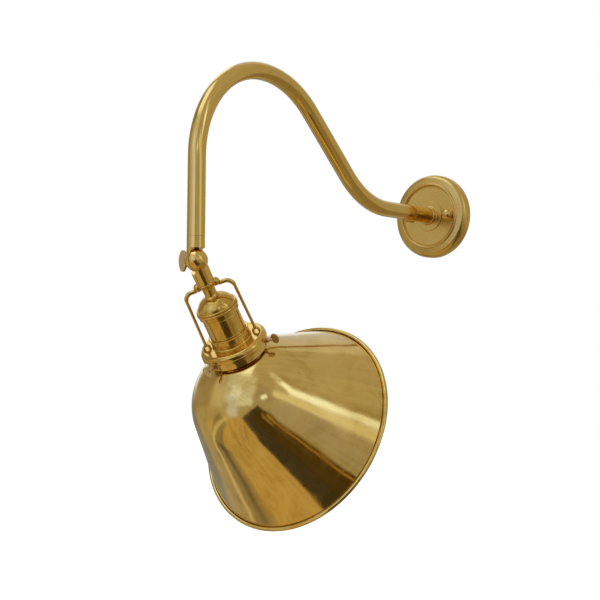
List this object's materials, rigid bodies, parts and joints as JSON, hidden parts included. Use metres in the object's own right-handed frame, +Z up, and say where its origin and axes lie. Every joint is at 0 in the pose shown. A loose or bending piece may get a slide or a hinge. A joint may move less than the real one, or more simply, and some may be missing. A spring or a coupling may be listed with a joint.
{
  "type": "picture light",
  "caption": "Wall picture light with a round rose, a gooseneck arm, a tilting knuckle, a lampholder in a rod cage and an angled dome shade.",
  "frame": {"origin": "centre of the bracket's back face, on the wall plane behind the rose", "axes": "+Z up, +Y into the wall, so the arm leaves the wall along -Y; +X to the right for a person facing the wall"},
  "size_m": [0.254, 0.4821, 0.5333],
  "materials": {
    "polished_brass": "polished and lacquered",
    "aged_brass": "polished, hand-finished, lightly aged",
    "turned_brass": "satin, turned in fine rings",
    "satin_brass": "satin",
    "plain_brass": "machined",
    "zinc_steel": "zinc plated",
    "black_rubber": "matt",
    "fibre": "vulcanised fibre",
    "insulating_plastic": "moulded",
    "flex_sheath": "extruded sheath",
    "glazed_ceramic": "glazed ceramic",
    "nickel": "nickel plated",
    "opal_glass": "opal glass"
  },
  "bodies": {
    "wall_side": {"rose": "turned_brass", "mounting_bracket": "zinc_steel", "cable_grommet": "black_rubber", "rose_stud_left": "zinc_steel", "rose_stud_right": "zinc_steel", "dome_nut_left": "turned_brass", "dome_nut_right": "turned_brass", "terminal_block": "insulating_plastic", "terminal_screws": "plain_brass", "earth_screw": "zinc_steel", "arm_flange": "turned_brass", "gooseneck_arm": "polished_brass", "arm_plug": "plain_brass", "arm_nipple": "plain_brass", "lock_washer": "zinc_steel", "arm_locknut": "plain_brass", "arm_flex": "flex_sheath", "knuckle_upper": "polished_brass", "friction_washer": "fibre"},
    "head": {"knuckle_lower": "polished_brass", "neck_collar": "polished_brass", "support_rod_left": "polished_brass", "support_rod_right": "polished_brass", "neck_nipple": "plain_brass", "neck_locknut": "plain_brass", "head_flex": "flex_sheath", "socket_cap": "polished_brass", "socket_shell": "polished_brass", "shell_liner": "fibre", "socket_husk": "polished_brass", "retaining_ring": "polished_brass", "gallery": "polished_brass", "shade": "aged_brass", "rim_bead": "aged_brass", "rim_wire": "zinc_steel", "shade_neck": "polished_brass", "lampholder_core": "glazed_ceramic", "holder_screws": "plain_brass", "screw_shell": "plain_brass", "centre_contact": "plain_brass", "lamp_cap": "nickel", "lamp_glass": "opal_glass"},
    "knuckle_screw": {"knuckle_thumbscrew": "satin_brass"},
    "gallery_screw_right": {"gallery_screw_right": "satin_brass"},
    "gallery_screw_back": {"gallery_screw_back": "satin_brass"},
    "gallery_screw_front": {"gallery_screw_front": "satin_brass"}
  },
  "joints": [
    {"name": "head_tilt", "type": "hinge", "parent": "wall_side", "child": "head", "pos_m": [0, -0.46967, -0.08933], "axis": [1, 0, 0], "range_deg": [-115, 48]},
    {"name": "knuckle_screw_turn", "type": "hinge", "parent": "head", "child": "knuckle_screw", "pos_m": [0, -0.46967, -0.08933], "axis": [1, 0, 0], "range_deg": [-180, 180]},
    {"name": "gallery_screw_right_turn", "type": "hinge", "parent": "head", "child": "gallery_screw_right", "pos_m": [0.03894, -0.38987, -0.17307], "axis": [0.9272, 0.3038, 0.2191], "range_deg": [-180, 180]},
    {"name": "gallery_screw_back_turn", "type": "hinge", "parent": "head", "child": "gallery_screw_back", "pos_m": [-0.0331, -0.38166, -0.16715], "axis": [-0.788, 0.4993, 0.3601], "range_deg": [-180, 180]},
    {"name": "gallery_screw_front_turn", "type": "hinge", "parent": "head", "child": "gallery_screw_front", "pos_m": [-0.00585, -0.43637, -0.2066], "axis": [-0.1392, -0.8032, -0.5793], "range_deg": [-180, 180]}
  ]
}
